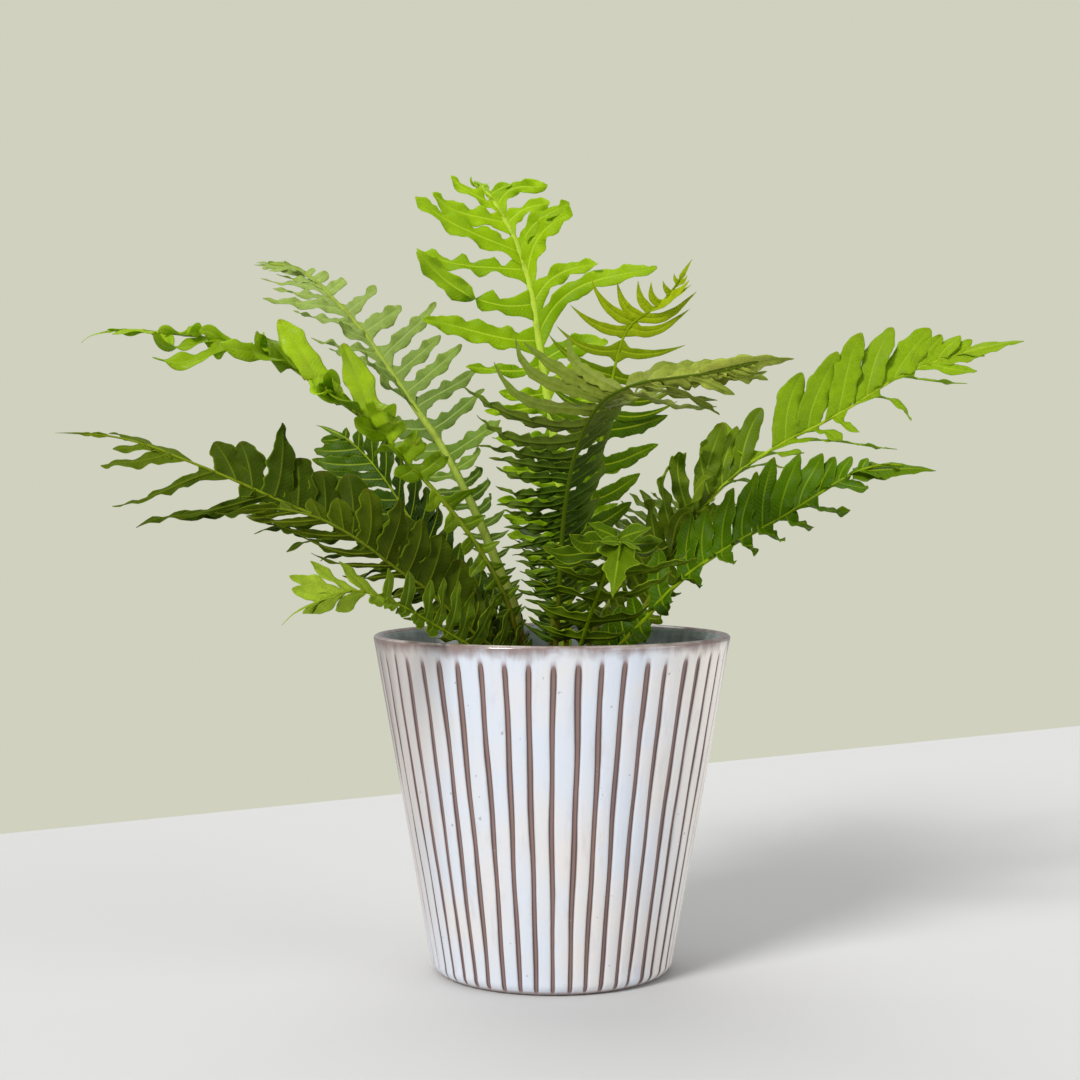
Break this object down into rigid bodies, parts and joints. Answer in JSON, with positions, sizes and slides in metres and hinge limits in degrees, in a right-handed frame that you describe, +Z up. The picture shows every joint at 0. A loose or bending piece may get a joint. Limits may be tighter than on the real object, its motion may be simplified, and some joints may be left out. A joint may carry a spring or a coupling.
{
  "type": "potted fern",
  "caption": "Tree-fern-like houseplant with arching pinnate fronds growing from a short crown in a tapered ribbed glazed ceramic pot.",
  "frame": {"origin": "centre of the pot's flat underside", "axes": "+Z up out of the pot's mouth, +X to the right and -Y to the front, with the widest spread of the fronds along X"},
  "size_m": [0.4099, 0.3116, 0.347],
  "materials": {
    "glazed_ceramic": "glossy white reactive glaze breaking to brown in the grooves",
    "potting_mix": "rough moist potting mix",
    "rhizome": "scaly, fibrous",
    "frond_bright": "satin leaf, yellow-green",
    "frond_green": "satin leaf, mid green",
    "frond_dark": "satin leaf, dark green"
  },
  "bodies": {
    "root": {"cache_pot": "glazed_ceramic", "potting_soil": "potting_mix", "crown": "rhizome", "frond_back_left": "frond_green", "frond_back_low": "frond_green", "frond_back_low_left": "frond_dark", "frond_back_right": "frond_green", "frond_back_tall": "frond_bright", "frond_front_arching": "frond_dark", "frond_front_drooping": "frond_green", "frond_left_dark": "frond_dark", "frond_left_long": "frond_green", "frond_left_low": "frond_dark", "frond_low_splayed": "frond_bright", "frond_right_lower": "frond_green", "frond_right_upper": "frond_green", "frond_young": "frond_bright"}
  },
  "joints": []
}
